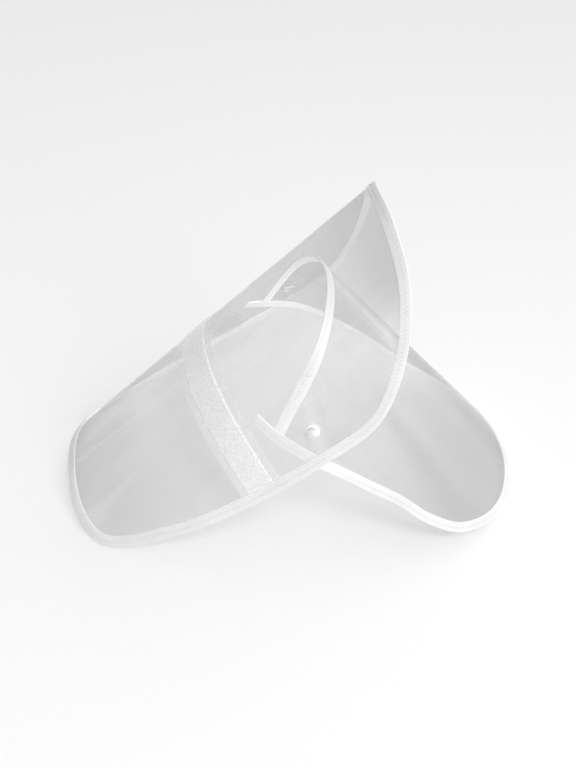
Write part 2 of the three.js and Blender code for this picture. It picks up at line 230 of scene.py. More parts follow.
def add_piece(name, points, faces, material, flat=None, crease=50):
    """A piece from level points and its faces, each a list of corners. flat holds each point's place on
    the flat pattern, kept as a UV map of which 1 is map_span. Edges sharper than crease degrees stay so."""
    mesh = bpy.data.meshes.new(name)
    mesh.from_pydata(placed(points).tolist(), [], [list(map(int, face)) for face in faces])
    if flat is not None:
        corners = np.empty(len(mesh.loops), np.int64)
        mesh.loops.foreach_get("vertex_index", corners)
        layer = mesh.uv_layers.new(name="flat")
        places = np.asarray(flat)[corners] / map_span + 0.5
        layer.data.foreach_set("uv", places.astype(np.float32).ravel())
    mesh.shade_smooth()
    mesh.set_sharp_from_angle(angle=np.radians(crease))
    mesh.materials.append(material)
    piece = bpy.data.objects.new(name, mesh)
    bpy.context.scene.collection.objects.link(piece)
    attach(piece, "root")
    return piece


def add_film(name, surface, rim, middle, material):
    """Film between two skins: copies of the rim shrunk towards its middle, then a fan, and a rim wall."""
    shares = np.linspace(1, 0, film_rings, endpoint=False)[:, None, None]
    rings = np.asarray(middle) + (rim - middle) * shares
    flat = np.concatenate([rings.reshape(-1, 2), [middle]])
    skins = [off_film(surface, *flat.T, side * film_thickness / 2) for side in (1, -1)]
    quads = grid_faces(len(shares), len(rim), closed_columns=True)
    last = len(flat) - 1
    inner = np.arange(last - len(rim), last)
    fan = np.column_stack([inner, np.roll(inner, -1), np.full(len(rim), last)])
    first = np.arange(len(rim))
    after = np.roll(first, -1)
    wall = np.column_stack([first, first + len(flat), after + len(flat), after])
    faces = [*quads, *fan, *(quads + len(flat))[:, ::-1], *(fan + len(flat))[:, ::-1], *wall]
    flats = np.concatenate([flat, flat])
    return add_piece(name, np.concatenate(skins), faces, material, flat=flats)


def new_material(name):
    """A material with its node tree and its Principled shader."""
    material = bpy.data.materials.new(name)
    material.use_nodes = True
    return material, material.node_tree, material.node_tree.nodes["Principled BSDF"]


def add_node(tree, kind, inputs=None, **settings):
    """A node with its settings. Each input, by name or number, takes a number, a colour or a socket."""
    node = tree.nodes.new("ShaderNode" + kind)
    for setting, value in settings.items():
        setattr(node, setting, value)
    for key, value in (inputs or {}).items():
        if isinstance(value, bpy.types.NodeSocket):
            tree.links.new(value, node.inputs[key])
        else:
            node.inputs[key].default_value = value
    return node


def maths(tree, operation, *values, **settings):
    """One Math node's result."""
    return add_node(tree, "Math", dict(enumerate(values)), operation=operation, **settings).outputs[0]


def vector(tree, operation, first, second, output="Vector"):
    """One Vector Math node's result."""
    return add_node(tree, "VectorMath", {0: first, 1: second}, operation=operation).outputs[output]


def grey(tree, value):
    """The grey of a value."""
    return add_node(tree, "CombineColor", {0: value, 1: value, 2: value}).outputs[0]


def ramp(tree, source, low, high, from_low=0.0, from_high=1.0):
    """A value carried smoothly from one range to another."""
    limits = {"Value": source, "From Min": from_low, "From Max": from_high, "To Min": low, "To Max": high}
    return add_node(tree, "MapRange", limits, interpolation_type="SMOOTHSTEP").outputs["Result"]


def either_way(tree, source, most):
    """A noise carried to a change of at most this much, up or down."""
    return ramp(tree, source, -most, most, 0.3, 0.7)


def beside_value(tree, source, centre, full, none):
    """1 where a value lies within full of the centre, and 0 where it lies beyond none."""
    return ramp(tree, maths(tree, "ABSOLUTE", maths(tree, "SUBTRACT", source, centre)), 1, 0, full, none)


def object_place(tree, scale=(1, 1, 1)):
    """The point on the piece in metres, stretched by scale."""
    place = add_node(tree, "TexCoord").outputs["Object"]
    return add_node(tree, "Mapping", {"Vector": place, "Scale": scale}).outputs["Vector"]


def flat_place(tree, scale=(map_span, map_span, 0)):
    """The place on the flat pattern, from its middle, in millimetres unless scale says otherwise."""
    place = add_node(tree, "UVMap", uv_map="flat").outputs["UV"]
    centred = vector(tree, "SUBTRACT", place, (0.5, 0.5, 0))
    return add_node(tree, "Mapping", {"Vector": centred, "Scale": scale}).outputs["Vector"]


def noise(tree, place, scale, detail=2.0, roughness=0.5):
    """Smooth noise at a place."""
    inputs = {"Vector": place, "Scale": scale, "Detail": detail, "Roughness": roughness}
    return add_node(tree, "TexNoise", inputs).outputs["Fac"]


def soft_line(tree, start, end, start_width, end_width, softness):
    """1 along a line between two flat places and 0 beyond its width, which goes evenly from one to the
    other. The fade takes softness of the width."""
    from_start = vector(tree, "SUBTRACT", flat_place(tree), (*start, 0))
    way = np.subtract(end, start)
    run = vector(tree, "DOT_PRODUCT", from_start, (*(way / (way @ way)), 0), "Value")
    run = maths(tree, "ADD", run, 0.0, use_clamp=True)
    foot = add_node(tree, "VectorMath", {0: (*way, 0), "Scale": run}, operation="SCALE").outputs[0]
    apart = vector(tree, "DISTANCE", from_start, foot, "Value")
    width = maths(tree, "MULTIPLY_ADD", run, end_width - start_width, start_width)
    return ramp(tree, maths(tree, "DIVIDE", apart, width), 1, 0, 1 - softness, 1)


def clear_film_finish(name, haze, edge_cover, painted_shade_places, pale_lines, painted_shade_lines):
    """Clear film with a fine milky haze, which thickens by edge_cover where it is seen edge on, and faint
    streaks along the ridge. Painted shade: it lets less light through round given places, each a flat place
    with its reach and depth, and along given lines, so it is darker there in place of shading and dark
    reflections. Pale lines are whitened creases and painted highlights. Rub marks and slow waves break up its
    gloss. Lamps shine through it, haze and all."""
    material, tree, shader = new_material(name)
    streaks = noise(tree, flat_place(tree, (1, 0.05, 1)), 26, 3.0)
    clouds = noise(tree, object_place(tree), 9, 1.0)
    cast = maths(tree, "ADD", either_way(tree, streaks, 0.02), either_way(tree, clouds, 0.02))
    cast = maths(tree, "ADD", cast, haze)
    milk = ramp(tree, clouds, *film_white)
    # Pale lines whiten the film: whitened creases, and painted highlights.
    for *line, depth in pale_lines:
        pale = soft_line(tree, *line)
        cast = maths(tree, "MULTIPLY_ADD", pale, depth, cast)
        milk = maths(tree, "MULTIPLY_ADD", pale, 0.2, milk)
    clear = maths(tree, "SUBTRACT", 1.0, ramp(tree, clouds, *film_loss, 0.3, 0.7))
    # Painted shade: the film is made darker round each of these places.
    for across, along, reach, depth in painted_shade_places:
        apart = vector(tree, "DISTANCE", flat_place(tree), (across, along, 0), "Value")
        clear = maths(tree, "SUBTRACT", clear, ramp(tree, apart, depth, 0, 0, reach))
    # Painted shade: the film is made darker along these lines.
    for *line, depth in painted_shade_lines:
        clear = maths(tree, "MULTIPLY_ADD", soft_line(tree, *line), -depth, clear)
    edge = add_node(tree, "LayerWeight", {"Blend": 0.5}).outputs["Facing"]
    edge = ramp(tree, maths(tree, "POWER", edge, 3.0), 0.0, edge_cover)
    cover = maths(tree, "ADD", cast, edge, use_clamp=True)
    through = add_node(tree, "BsdfTransparent", {"Color": grey(tree, clear)}).outputs[0]
    tree.links.new(grey(tree, milk), shader.inputs["Base Color"])
    shader.inputs["IOR"].default_value = 1.52
    rubbed = noise(tree, object_place(tree, (1, 1, 0.4)), 160, 4.0, 0.7)
    tree.links.new(ramp(tree, rubbed, *film_roughness, 0.35, 0.75), shader.inputs["Roughness"])
    waves = noise(tree, object_place(tree), 14, 1.0)
    bump = add_node(tree, "Bump", {"Height": waves, "Strength": 0.25, "Distance": 0.0015})
    tree.links.new(bump.outputs[0], shader.inputs["Normal"])
    mixed = add_node(tree, "MixShader", {0: cover, 1: through, 2: shader.outputs[0]}).outputs[0]
    onwards = add_node(tree, "BsdfTransparent", {"Color": (0.97, 0.97, 0.97, 1)}).outputs[0]
    from_lamp = add_node(tree, "LightPath").outputs["Is Shadow Ray"]
    mixed = add_node(tree, "MixShader", {0: from_lamp, 1: mixed, 2: onwards}).outputs[0]
    tree.links.new(mixed, tree.nodes["Material Output"].inputs["Surface"])
    return material


# A place of painted shade is its place across and along, its reach and its depth. A pale line, which is a
# whitened crease or a painted highlight, is its start and end, its width at each, the share of it that fades,
# and its depth.
hat_rim = outline(hat_outline, hat_centre, True, hat_rim_steps)
# Painted shade: patches where the hat's film is darker.
hat_painted_shade = [
    (0, 130, 140, 0.08),
    (-60, 122, 80, 0.1),
    (-85, 100, 42, 0.07),
    (0, -205, 130, 0.1),
    (-80, -150, 100, 0.05),
]
hat_creases_and_highlights = [
    # Whitened creases in the film.
    ((-4, -190), (-17, -66), 4, 3, 1.0, 0.04),
    ((6, -188), (14, -102), 5, 3, 1.0, 0.04),
    ((-48, -196), (-47, -144), 9, 2, 0.7, 0.02),
    # Painted highlights: pale glows on the film beside each stud.
    ((-91, 9), (-132, -14), 11, 9, 1.0, 0.07),
    ((91, 9), (132, -14), 11, 9, 1.0, 0.07),
    # Painted highlight: a broad pale band along the ridge.
    ((8, -20), (8, 70), 40, 40, 1.0, 0.12),
]
hat_film_finish = clear_film_finish("hat film", 0.14, 0.42, hat_painted_shade, hat_creases_and_highlights, [])
hat_film = add_film("hat_film", hat_surface, hat_rim, (0, hat_centre), hat_film_finish)
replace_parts(hat_film, "hat_sheet")


# Face shield. A second piece of the same film, cut to a tongue, hangs in front of the face. It lies
# inside the hat, which presses it inwards, and the studs hold it flat under the hat's film.
shield_span = stud_half_span + 2.4
shield_bend = {"slope": -59.6, "taper": 0.00304, "bend": 89.1, "bend_reach": 232, "span": shield_span}
shield_centre = 34.2
shield_askew = -1.7
arch_crown = 0.00219
press_clear = 1.8
press_ease = 3.5
stud_depth = 3.3
held_flat = 8
held_fade = 30
shield_outline = {
    "turn": [0, 14.7, 29.5, 44.2, 58.9, 73.7, 88.4, 103.1],
    "reach": [165.6, 161.2, 143.7, 124.1, 111.3, 110.5, 119.7, 153.3],
}
tape_width = 7.6
top_tuck = 1.2
lower_edge_steps = 300
top_edge_count = 221
shield_form = BentSheet(**shield_bend)
stud_normal = outward(hat_form.point, np.array([hat_form.stud_arc]), np.zeros(1))[0]


def smooth_step(values, low, high):
    """0 below low, 1 above high, and the cubic ease between them."""
    share = np.clip((values - low) / (high - low), 0, 1)
    return share * share * (3 - 2 * share)


def shield_surface(across, along):
    """The shield's own bend, eased to lie inside the hat's side by press_clear, and near each stud drawn to
    stud_depth under the hat's film."""
    across, along = askew(across, along, 0, shield_askew)
    points = shield_form.point(across, along)
    hat_side = hat_form.side_at(points)
    side = np.abs(points[..., 1])
    over = side - (hat_side - press_clear)
    pressed = np.maximum(side - (over + np.hypot(over, 2 * press_ease)) / 2, 0)
    from_stud = np.sqrt(points[..., 0] ** 2 + (side - stud_half_span) ** 2 + points[..., 2] ** 2)
    held = 1 - smooth_step(from_stud, held_flat, held_fade)
    side = pressed + (hat_side - stud_depth / stud_normal[1] - pressed) * held
    points[..., 1] = np.sign(across) * side
    return points


lower_edge = outline(shield_outline, shield_centre, False, lower_edge_steps)
foot_across, foot_along = lower_edge[-1]
top_across = (foot_across - tape_width + top_tuck) * np.linspace(1, -1, top_edge_count)
top_edge = np.column_stack([top_across, foot_along + arch_crown * (top_across**2 - foot_across**2)])
shield_rim = np.concatenate([lower_edge, top_edge])
# Painted shade: the shield's film is darker over a wide patch.
shield_painted_shade = [(0, 150, 230, 0.11)]
# Painted highlight: a pale glare along the shield's ridge.
shield_glare = [((0, -60), (-2, 22), 28, 28, 1.0, 0.3)]
# Painted shade: two dark bands on the shield, standing in for dark reflections.
shield_painted_shade_bands = [((8, 50), (-1, 200), 26, 24, 1.0, 0.06), ((-62, 30), (-68, 160), 8, 26, 1.0, 0.05)]
shield_film_finish = clear_film_finish("shield film", 0.11, 0.25, shield_painted_shade, shield_glare, shield_painted_shade_bands)
shield_film = add_film("shield_film", shield_surface, shield_rim, (0, shield_centre), shield_film_finish)
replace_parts(shield_film, "shield_sheet")


# Edge tapes. Woven polyester tape, folded over every edge of the film and sewn through with one row of
# slanting stitches. The hat's tape laps over its own start at the far back corner.
tape_thickness = 0.35
snug = 0.05
tape_slot = film_thickness / 2 + snug
hat_tail = 12
shield_tail = 13
stitch_pitch = 3.0
stitch_line = 0.46
rib_pitch = 0.8
thread_pitch = 0.55
tape_white = 0.7
# Painted light: how much more the tape glows on the leg below and in the slot.
below_painted_glow = 0.2
slot_painted_glow = 0.45
map_aside = 100
leg_points = 9
slot_points = 4
band_along = -48.5
band_bow = 0.0011
band_margin = 0.5


def walk_along(flat, closed):
    """Flat points with their unit ways forward and inwards, which is to the left as seen from outside."""
    if closed:
        ahead = np.roll(flat, -1, axis=0) - np.roll(flat, 1, axis=0)
    else:
        ahead = np.gradient(flat, axis=0)
    forward = ahead / np.linalg.norm(ahead, axis=1, keepdims=True)
    inward = np.column_stack([forward[:, 1], -forward[:, 0]])
    return flat, forward, inward


def bent_lengths(surface, flat):
    """How far along the bent edge each flat point lies: the running sum of the steps between them."""
    return np.concatenate([[0], np.cumsum(np.linalg.norm(np.diff(surface(*flat.T), axis=0), axis=1))])


def tape_section(under, over, outside):
    """The folded tape's loop at each station, as inward places and heights: the outer face from the leg
    below, round a half ellipse at the fold, to the leg above, and back along the slot. The legs' faces are
    crowned, with a raised selvedge at their edges."""
    legs = np.linspace(1, 0, leg_points)
    fold = np.linspace(-np.pi / 2, np.pi / 2, 9)[1:-1]
    reach = tape_width - tape_thickness
    crown = 0.1 * np.sin(np.pi * legs) + 0.06 * np.exp(-((legs - 0.97) / 0.05) ** 2)
    inward, height = [], []
    for u, c in zip(legs, crown):
        inward.append(reach * u - outside * (1 - u))
        height.append(-under - tape_thickness * (0.55 if u == 1 else 1) - c)
    low, high = -under - tape_thickness, over + tape_thickness
    for angle in fold:
        inward.append(-outside - tape_thickness * 1.2 * np.cos(angle))
        height.append((low + high) / 2 + (high - low) / 2 * np.sin(angle))
    for u, c in zip(legs[::-1], crown[::-1]):
        inward.append(reach * u - outside * (1 - u))
        height.append(over + tape_thickness * (0.55 if u == 1 else 1) + c)
    inward += [reach + 0 * outside, -outside, -outside, reach + 0 * outside]
    height += [over, over, -under, -under]
    shape = (len(inward), np.size(outside))
    return [np.stack([np.broadcast_to(row, shape[1:]) for row in rows], axis=1) for rows in (inward, height)]


def add_tape(name, surface, walk, section, node, material):
    """The section carried along the walk, with a flat cap at each end. Its map holds the lengths along and
    across the tape, and lies map_aside further for the slot and as much the other way for the leg below."""
    flat, _, inward_way = walk
    inward, height = section
    across = flat[:, None, 0] + inward_way[:, None, 0] * inward
    along = flat[:, None, 1] + inward_way[:, None, 1] * inward
    points = off_film(surface, across, along, height)
    count = points.shape[1]
    faces = [*grid_faces(len(points), count, closed_columns=True)]
    faces += [list(range(count))[::-1], list((len(points) - 1) * count + np.arange(count))]
    lengths = bent_lengths(surface, flat)
    aside = np.zeros(count)
    aside[:leg_points] = -map_aside
    aside[-slot_points:] = map_aside
    strip = np.stack([np.broadcast_to(lengths[:, None], inward.shape), inward + aside], axis=-1)
    piece = add_piece(name, points.reshape(-1, 3), faces, material, flat=strip.reshape(-1, 2))
    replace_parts(piece, node)


def on_bend(walk):
    """The shield spreads towards its lower end, where a step across grows by the taper. The way inwards is
    made square to the edge on the bend, and a millimetre long there."""
    flat, forward, _ = walk
    grow = 1 + shield_bend["taper"] * flat[:, 1]
    length = np.hypot(forward[:, 1], forward[:, 0] * grow)
    return flat, forward, np.column_stack([forward[:, 1] / grow, -forward[:, 0] * grow]) / length[:, None]


def woven_tape_finish(name, tape_painted_glow, lit):
    """White woven tape: fine ribs across it, and a small hollow sunk at every stitch, painted darker as shade.
    It glows a little all over, painted light that lifts it also where it is in shade, and glows more on the
    leg below and in the slot, painted light in place of the light that soaks through it. The outer leg's
    colour and glow are lowered where it lies under 80 to 100 mm, painted shade where it stands in full light."""
    material, tree, shader = new_material(name)
    parts = add_node(tree, "SeparateXYZ", {0: flat_place(tree)})
    run, spread = parts.outputs[0], parts.outputs[1]
    # Painted light: the leg below and the slot glow more.
    below = ramp(tree, spread, below_painted_glow, 0, -0.6 * map_aside, -0.4 * map_aside)
    outer = ramp(tree, spread, 0, 1, -0.6 * map_aside, -0.4 * map_aside)
    in_slot = ramp(tree, spread, 0, slot_painted_glow, 0.4 * map_aside, 0.6 * map_aside)
    across = maths(tree, "WRAP", spread, map_aside / 2, -map_aside / 2)
    ribs = maths(tree, "SINE", maths(tree, "MULTIPLY", run, 2 * np.pi / rib_pitch))
    threads = maths(tree, "SINE", maths(tree, "MULTIPLY", across, 2 * np.pi / thread_pitch))
    weave = maths(tree, "MULTIPLY", ribs, threads)
    slant = maths(tree, "ADD", run, maths(tree, "MULTIPLY", across, 0.8))
    beat = maths(tree, "COSINE", maths(tree, "MULTIPLY", slant, 2 * np.pi / stitch_pitch))
    row = beside_value(tree, across, tape_width * stitch_line - tape_thickness, 0.2, 1.3)
    stitch_dent_and_shade = maths(tree, "MULTIPLY", row, ramp(tree, beat, 0, 1, 0.1, 0.9))
    fuzz = noise(tree, object_place(tree), 900, 3.0)
    soil = noise(tree, object_place(tree), 25, 3.0)
    shade = maths(tree, "ADD", either_way(tree, fuzz, 0.03), either_way(tree, soil, 0.03))
    shade = maths(tree, "ADD", maths(tree, "MULTIPLY_ADD", weave, 0.02, shade), tape_white)
    # Painted shade: each stitch dent is darker, as shade falls in it.
    shade = maths(tree, "MULTIPLY_ADD", stitch_dent_and_shade, -0.15, shade)
    level = add_node(tree, "SeparateXYZ", {0: object_place(tree)}).outputs[2]
    # Painted shade: the low outer leg is made darker and its glow lowered, where it stands in full light.
    low_painted_shade = maths(tree, "MULTIPLY", ramp(tree, level, lit, 0, 0.08, 0.1), outer)
    shade = maths(tree, "MULTIPLY_ADD", low_painted_shade, -0.4, shade)
    warm = maths(tree, "MULTIPLY", shade, 0.995)
    colour = add_node(tree, "CombineColor", {0: shade, 1: shade, 2: warm}).outputs[0]
    tree.links.new(colour, shader.inputs["Base Color"])
    tree.links.new(ramp(tree, fuzz, 0.55, 0.8), shader.inputs["Roughness"])
    height = maths(tree, "SUBTRACT", maths(tree, "MULTIPLY", weave, 0.35), stitch_dent_and_shade)
    bump = add_node(tree, "Bump", {"Height": height, "Strength": 0.6, "Distance": 0.0002})
    tree.links.new(bump.outputs[0], shader.inputs["Normal"])
    shader.inputs["Sheen Weight"].default_value = 0.2
    # Painted light: the tape's glow, though it is no lamp.
    glow = maths(tree, "ADD", maths(tree, "ADD", below, in_slot), tape_painted_glow)
    glow = maths(tree, "MULTIPLY_ADD", low_painted_shade, -1.0, glow, use_clamp=True)
    tree.links.new(grey(tree, glow), shader.inputs["Emission Color"])
    shader.inputs["Emission Strength"].default_value = 1.0
    return material


def add_stitches(name, surface, walk, sections, material):
    """One slanting capsule of thread for every stitch pitch, above and below the film: a bent tube whose
    ends dip into the tape. Its map is one point, on the tape's upper leg or map_aside off on the lower."""
    flat, _, inward_way = walk
    lengths = bent_lengths(surface, flat)
    marks = np.arange(stitch_pitch, lengths[-1] - stitch_pitch, stitch_pitch)
    share = np.linspace(-1, 1, 7)
    reach, slant, thread = 1.0, 0.55, 0.19
    turns = np.linspace(0, 2 * np.pi, 6, endpoint=False)
    runs = marks[:, None] + share * reach
    inwards = tape_width * stitch_line - tape_thickness + share * slant + 0 * runs
    pieces = []
    for face in (1, -1):
        level = np.interp(runs, lengths, sections[0 if face > 0 else 1]) + tape_thickness + 0.08
        lift = level + 0.2 * (1 - share**4) - 0.1
        ring = thread * np.sqrt(1 - 0.8 * share**2)
        places = [np.interp(runs, lengths, way) for way in (*flat.T, *inward_way.T)]
        beside = inwards[..., None] + ring[:, None] * np.cos(turns)
        height = face * (lift[..., None] + ring[:, None] * np.sin(turns))
        across = places[0][..., None] + places[2][..., None] * beside
        along = places[1][..., None] + places[3][..., None] * beside
        pieces.append(off_film(surface, across, along, height))
    points = np.concatenate(pieces)
    ring_faces = grid_faces(len(share), len(turns), closed_columns=True)
    caps = [list(range(len(turns)))[::-1], list((len(share) - 1) * len(turns) + np.arange(len(turns)))]
    faces = []
    for index in range(len(points)):
        base = index * len(share) * len(turns)
        flip = index >= len(marks)
        for face in [*ring_faces.tolist(), *caps]:
            corners = [base + corner for corner in face]
            faces.append(corners[::-1] if flip else corners)
    points = points.reshape(-1, 3)
    side = np.zeros((len(points), 2))
    side[len(points) // 2:, 1] = -map_aside
    return add_piece(name, points, faces, material, flat=side, crease=80)


tape_finish = woven_tape_finish("hat tape", 0.11, 0)
lap_start = 210
lap_rise_steps = 10
lap_gap = 0.1
over_band_clear = 21
over_band_ease = 30
hat_walk = walk_along(hat_rim, True)
rolled = [np.concatenate([way[lap_start:], way[:lap_start + 1]]) for way in hat_walk]
tail_points = rolled[0][-1] + rolled[1][-1] * np.linspace(0, hat_tail, 9)[1:, None]
tape_walk = (
    np.concatenate([rolled[0], tail_points]),
    np.concatenate([rolled[1], np.repeat(rolled[1][-1:], len(tail_points), axis=0)]),
    np.concatenate([rolled[2], np.repeat(rolled[2][-1:], len(tail_points), axis=0)]),
)
beside_band = np.abs(tape_walk[0][:, 1] - (band_along - band_bow * tape_walk[0][:, 0] ** 2))
raised = 1 - smooth_step(beside_band, over_band_clear, over_band_ease)
lapped = np.clip((np.arange(len(tape_walk[0])) - len(hat_rim)) / lap_rise_steps + 1, 0, 1)
layer = (tape_thickness + lap_gap + snug) * lapped
hat_under = tape_slot + layer
hat_over = tape_slot + layer + raised * (band_margin + snug)
hat_section = tape_section(hat_under, hat_over, snug + layer)
add_tape("hat_tape", hat_surface, tape_walk, hat_section, "hat_binding", tape_finish)
add_stitches("hat_stitching", hat_surface, tape_walk, (hat_over, hat_under), tape_finish)

tape_finish = woven_tape_finish("shield edge tape", 0.26, 0.16)
lower_walk = walk_along(lower_edge, False)
steps = np.linspace(0, shield_tail, 9)[1:, None]
starts = (lower_walk[0][0] - lower_walk[1][0] * steps)[::-1]
ends = lower_walk[0][-1] + lower_walk[1][-1] * steps
lower_walk = on_bend(walk_along(np.concatenate([starts, lower_edge, ends]), False))
level = np.full(len(lower_walk[0]), tape_slot)
lower_section = tape_section(level, level, np.full(len(level), snug))
add_tape("shield_edge_tape", shield_surface, lower_walk, lower_section, "shield_edge_binding", tape_finish)
add_stitches("shield_edge_stitching", shield_surface, lower_walk, (level, level), tape_finish)

tape_finish = woven_tape_finish("shield top tape", 0.33, 0)
top_walk = walk_along(top_edge, False)
corner = lower_walk[1][len(steps) + len(lower_edge) - 1]
for station, way in ((0, -corner), (-1, corner * [1, -1])):
    top_walk[2][station] = way / (way @ top_walk[2][station])
level = np.full(len(top_edge), tape_slot)
top_section = tape_section(level, level, np.full(len(level), snug))
add_tape("shield_top_tape", shield_surface, top_walk, top_section, "shield_top_binding", tape_finish)
add_stitches("shield_top_stitching", shield_surface, top_walk, (level, level), tape_finish)


# Crown band. A strip of white sparkling foil welded over a soft core crosses the outside of the hat, and
# its ends are caught under the hat's tape. Its two margins are flat, and the core stands up a little.
band_half_width = 17
band_core_half = 10
band_shoulder = 1.5
band_thick = 1.1
band_pressed = 0.6
band_reach = 0.985
flat_from = 0.84
flat_by = 0.9
band_foot = film_thickness / 2 + snug
pebble_size = 1.7
pebble_height = 0.16
lift_height = 2.2
lift_reach = 70
foil_white = 0.74
# Painted light: how much the foil glows.
foil_painted_glow = 0.18
foil_cover = (0.28, 0.68)
foil_cells = 900


def band_line(arc):
    """The band's middle: it bows backwards by the arc squared."""
    return band_along - band_bow * arc * arc


def rim_arc(beside):
    """The arc at which a line beside the band's middle meets the far rim, share band_reach of the way."""
    across, along = hat_rim[:, 0], hat_rim[:, 1]
    off = along - band_line(across) - beside
    meets = (off[:-1] * off[1:] <= 0) & (across[:-1] > 0)
    first = np.flatnonzero(meets)[0]
    share = off[first] / (off[first] - off[first + 1])
    return (across[first] + (across[first + 1] - across[first]) * share) * band_reach


def pebbles(across, along, size):
    """Small domes on a jittered grid: one less the squared distance to the nearest seed, never under 0."""
    column, row = np.floor(across / size), np.floor(along / size)
    nearest = np.full(across.shape, 9.0)
    for step_across in (-1, 0, 1):
        for step_along in (-1, 0, 1):
            i, j = column + step_across, row + step_along
            seed = np.sin(i * 127.1 + j * 311.7) * 43758.5
            other = np.sin(i * 269.5 + j * 183.3) * 24634.6
            away_across = (i + 0.2 + 0.6 * (seed % 1)) * size - across
            away_along = (j + 0.2 + 0.6 * (other % 1)) * size - along
            nearest = np.minimum(nearest, (away_across**2 + away_along**2) / size**2)
    return np.clip(1 - 2.2 * nearest, 0, 1)


def band_top(share, beside, arc):
    """Height of the band's face: the margin, and over the core a padded rise with pebbles, pressed flat
    towards the two ends."""
    pressed = smooth_step(np.abs(share), flat_from, flat_by)
    core = 1 - smooth_step(np.abs(beside), band_core_half, band_core_half + band_shoulder)
    rise = band_thick + (band_pressed - band_thick) * pressed - band_margin
    swell = 0.18 * (1 - pressed) * np.cos(np.clip(beside / band_core_half, -1, 1) * np.pi / 2)
    relief = pebble_height * pebbles(arc + 400, beside + 400, pebble_size) * (1 - pressed)
    return band_foot + band_margin + core * (rise + swell + relief - 0.2 * (1 - pressed))


def band_lift(beside, arc):
    """The band stands off the film over the crown, most at its back edge: a smooth hump of the arc."""
    hump = smooth_step(1 - np.abs(arc) / lift_reach, 0, 1)
    return lift_height * hump * (0.5 - 0.5 * beside / band_half_width)


def sparkling_foil_finish():
    """Milky film over fine silver cells, each with its own small tilt and shine. Light passes through it a
    little, and its margins are thin enough to show the hat's film. It glows evenly a little, painted light
    that lifts it where it is in shade."""
    material, tree, shader = new_material("sparkling foil")
    across = add_node(tree, "SeparateXYZ", {0: flat_place(tree)}).outputs[1]
    in_core = beside_value(tree, across, 0, band_core_half, band_core_half + band_shoulder)
    cells = add_node(tree, "TexVoronoi", {"Vector": object_place(tree), "Scale": foil_cells})
    tilt = vector(tree, "SUBTRACT", cells.outputs["Color"], (0.5, 0.5, 0.5))
    lean = add_node(tree, "VectorMath", {0: tilt, "Scale": 0.12}, operation="SCALE").outputs[0]
    cell_normal = vector(tree, "ADD", add_node(tree, "NewGeometry").outputs["Normal"], lean)
    unit = add_node(tree, "VectorMath", {0: cell_normal}, operation="NORMALIZE").outputs[0]
    tree.links.new(unit, shader.inputs["Normal"])
    chance = add_node(tree, "SeparateColor", {0: cells.outputs["Color"]}).outputs[0]
    tree.links.new(ramp(tree, chance, 0.4, 0.12), shader.inputs["Roughness"])
    weld = band_core_half + band_shoulder / 2
    weld_line = beside_value(tree, across, weld, 0.3, 1.1)
    grain = noise(tree, object_place(tree), 600, 3.0)
    lines = maths(tree, "MULTIPLY", weld_line, ramp(tree, grain, 0.2, 1.0, 0.4, 0.6))
    mottle = maths(tree, "ADD", ramp(tree, grain, -0.05, 0.04, 0.35, 0.65), ramp(tree, chance, -0.03, 0.08))
    shade = maths(tree, "MULTIPLY_ADD", mottle, in_core, maths(tree, "MULTIPLY_ADD", lines, 0.1, foil_white))
    colour = grey(tree, shade)
    tree.links.new(colour, shader.inputs["Base Color"])
    # Painted light: the foil glows evenly, though it is no lamp.
    shader.inputs["Emission Color"].default_value = (1, 1, 1, 1)
    shader.inputs["Emission Strength"].default_value = foil_painted_glow
    glow = add_node(tree, "BsdfTranslucent", {"Color": colour}).outputs[0]
    lit = add_node(tree, "MixShader", {0: 0.2, 1: shader.outputs[0], 2: glow}).outputs[0]
    cover = maths(tree, "MULTIPLY_ADD", lines, 0.2, ramp(tree, in_core, *foil_cover), use_clamp=True)
    through = add_node(tree, "BsdfTransparent").outputs[0]
    mixed = add_node(tree, "MixShader", {0: cover, 1: through, 2: lit}).outputs[0]
    tree.links.new(mixed, tree.nodes["Material Output"].inputs["Surface"])
    return material


reaches = {beside: rim_arc(beside) for beside in (-band_half_width, 0, band_half_width)}
reach_fit = np.polyfit(list(reaches), list(reaches.values()), 2)
top_beside = np.concatenate([
    np.linspace(-band_half_width, -band_core_half - band_shoulder, 8),
    np.linspace(-band_core_half - band_shoulder, band_core_half + band_shoulder, 60)[1:-1],
    np.linspace(band_core_half + band_shoulder, band_half_width, 8),
])
under_beside = np.linspace(band_half_width, -band_half_width, 9)
beside = np.concatenate([top_beside, under_beside])
band_steps = 470
share = np.linspace(1, -1, band_steps + 1)[:, None]
arc = share * np.polyval(reach_fit, beside)
rows = np.broadcast_to(beside, arc.shape)
height = np.full(arc.shape, band_foot)
height[:, :len(top_beside)] = band_top(share, rows[:, :len(top_beside)], arc[:, :len(top_beside)])
band_points = off_film(hat_surface, arc, band_line(arc) + rows, height + band_lift(rows, arc))
count = len(beside)
band_faces = [face[::-1] for face in grid_faces(len(share), count, closed_columns=True)]
band_faces += [list(range(count)), list((len(share) - 1) * count + np.arange(count))[::-1]]
band_flat = np.stack([arc, rows], axis=-1).reshape(-1, 2)
foil_finish = sparkling_foil_finish()
band_piece = add_piece(
    "sparkling_band", band_points.reshape(-1, 3), band_faces, foil_finish, flat=band_flat
)
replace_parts(band_piece, "crown_band")

